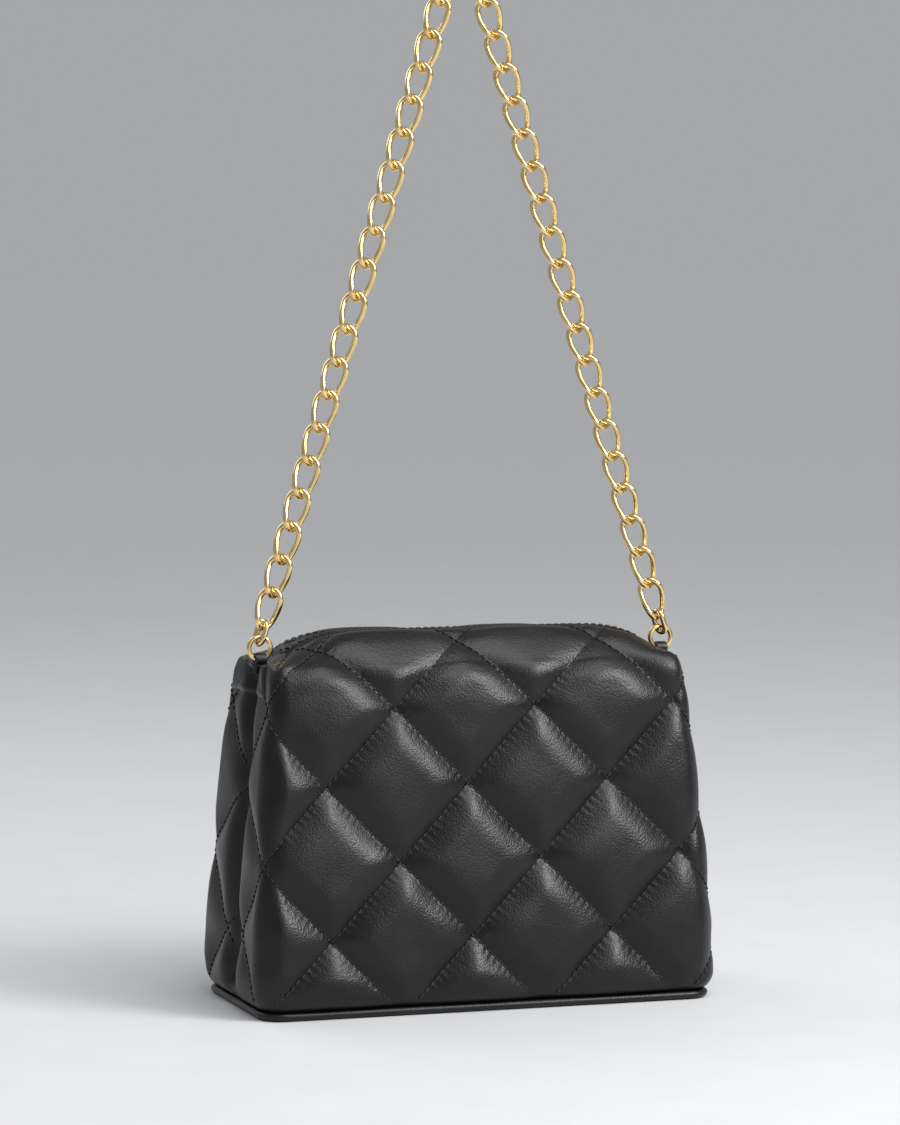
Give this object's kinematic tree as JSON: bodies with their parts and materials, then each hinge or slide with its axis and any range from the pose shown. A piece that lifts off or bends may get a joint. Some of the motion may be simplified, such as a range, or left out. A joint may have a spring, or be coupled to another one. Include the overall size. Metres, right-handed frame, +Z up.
{
  "type": "chain shoulder bag",
  "caption": "Small black quilted leather shoulder bag with zip top, piped base and a pale gold twisted-link chain strap hung on rings.",
  "frame": {"origin": "centre of the base, on the surface that the bag stands on", "axes": "+Z up along the held-up strap, +X to the right seen from the front, -Y towards the front"},
  "size_m": [0.211, 0.0992, 0.4431],
  "materials": {
    "quilted_leather": "soft satin grain",
    "plain_leather": "soft satin grain",
    "wadding": "felted",
    "lining": "fine twill",
    "board": "fibreboard",
    "zip_tape": "woven tape",
    "zip_coil": "nylon coil",
    "gold_metal": "polished pale gold plate"
  },
  "bodies": {
    "bag": {"front_panel": "quilted_leather", "back_panel": "quilted_leather", "front_wadding": "wadding", "back_wadding": "wadding", "lining": "lining", "base_panel": "plain_leather", "base_board": "board", "base_piping": "plain_leather", "left_end_gusset": "plain_leather", "left_zip_end": "zip_tape", "left_zip_stop": "gold_metal", "left_ring_loop": "plain_leather", "right_end_gusset": "plain_leather", "right_zip_end": "zip_tape", "right_zip_stop": "gold_metal", "right_ring_loop": "plain_leather"},
    "front_mouth": {"front_top_panel": "quilted_leather", "front_facing": "plain_leather", "front_zip_tape": "zip_tape", "front_zip_coil": "zip_coil"},
    "rear_mouth": {"back_top_panel": "quilted_leather", "back_facing": "plain_leather", "back_zip_tape": "zip_tape", "back_zip_coil": "zip_coil"},
    "slider": {"zip_slider": "gold_metal"},
    "pull": {"zip_pull": "gold_metal"},
    "strap_rings": {"left_ring": "gold_metal", "right_ring": "gold_metal"},
    "strap_end_links": {"left_end_link": "gold_metal", "right_end_link": "gold_metal"},
    "strap_links_1": {"left_links_1": "gold_metal", "right_links_1": "gold_metal"},
    "strap_links_2": {"left_links_2": "gold_metal", "right_links_2": "gold_metal"},
    "strap_links_3": {"left_links_3": "gold_metal", "right_links_3": "gold_metal"},
    "strap_links_4": {"left_links_4": "gold_metal", "right_links_4": "gold_metal"},
    "strap_links_5": {"left_links_5": "gold_metal", "right_links_5": "gold_metal"},
    "strap_links_6": {"left_links_6": "gold_metal", "right_links_6": "gold_metal"},
    "strap_links_7": {"left_links_7": "gold_metal", "right_links_7": "gold_metal"},
    "top_link": {"top_link": "gold_metal"}
  },
  "joints": [
    {"name": "front_mouth_open", "type": "hinge", "parent": "bag", "child": "front_mouth", "pos_m": [0, -0.0305, 0.1462], "axis": [1, 0, 0], "range_deg": [0, 45]},
    {"name": "rear_mouth_open", "type": "hinge", "parent": "bag", "child": "rear_mouth", "pos_m": [0, 0.0305, 0.1462], "axis": [1, 0, 0], "range_deg": [-45, 0]},
    {"name": "zip_slide", "type": "slide", "parent": "bag", "child": "slider", "axis": [-1, 0, 0], "range_m": [0, 0.14]},
    {"name": "pull_swing", "type": "hinge", "parent": "slider", "child": "pull", "pos_m": [0.07, 0, 0.15637], "axis": [0, 1, 0], "range_deg": [0, 165]},
    {"name": "strap_fall", "type": "hinge", "parent": "bag", "child": "strap_rings", "pos_m": [0, -0.006, 0.14825], "axis": [-1, 0, 0], "range_deg": [-45, 45]},
    {"name": "strap_end_links_turn", "type": "hinge", "parent": "strap_rings", "child": "strap_end_links", "pos_m": [0, -0.006, 0.15775], "axis": [-1, 0, 0], "range_deg": [-25, 25]},
    {"name": "strap_links_1_turn", "type": "hinge", "parent": "strap_end_links", "child": "strap_links_1", "pos_m": [0, -0.006, 0.1612], "axis": [-1, 0, 0], "range_deg": [-23, 23]},
    {"name": "strap_links_2_turn", "type": "hinge", "parent": "strap_links_1", "child": "strap_links_2", "pos_m": [0, -0.006, 0.20403], "axis": [-1, 0, 0], "range_deg": [-29, 29]},
    {"name": "strap_links_3_turn", "type": "hinge", "parent": "strap_links_2", "child": "strap_links_3", "pos_m": [0, -0.006, 0.21787], "axis": [-1, 0, 0], "range_deg": [-29, 29]},
    {"name": "strap_links_4_turn", "type": "hinge", "parent": "strap_links_3", "child": "strap_links_4", "pos_m": [0, -0.006, 0.23171], "axis": [-1, 0, 0], "range_deg": [-29, 29]},
    {"name": "strap_links_5_turn", "type": "hinge", "parent": "strap_links_4", "child": "strap_links_5", "pos_m": [0, -0.006, 0.34242], "axis": [1, 0, 0], "range_deg": [-30, 30]},
    {"name": "strap_links_6_turn", "type": "hinge", "parent": "strap_links_5", "child": "strap_links_6", "pos_m": [0, -0.006, 0.35626], "axis": [1, 0, 0], "range_deg": [-30, 30]},
    {"name": "strap_links_7_turn", "type": "hinge", "parent": "strap_links_6", "child": "strap_links_7", "pos_m": [0, -0.006, 0.37009], "axis": [1, 0, 0], "range_deg": [-30, 30]},
    {"name": "top_link_rock", "type": "hinge", "parent": "strap_links_7", "child": "top_link", "pos_m": [0, -0.006, 0.4406], "axis": [-1, 0, 0], "range_deg": [-5, 5]}
  ]
}
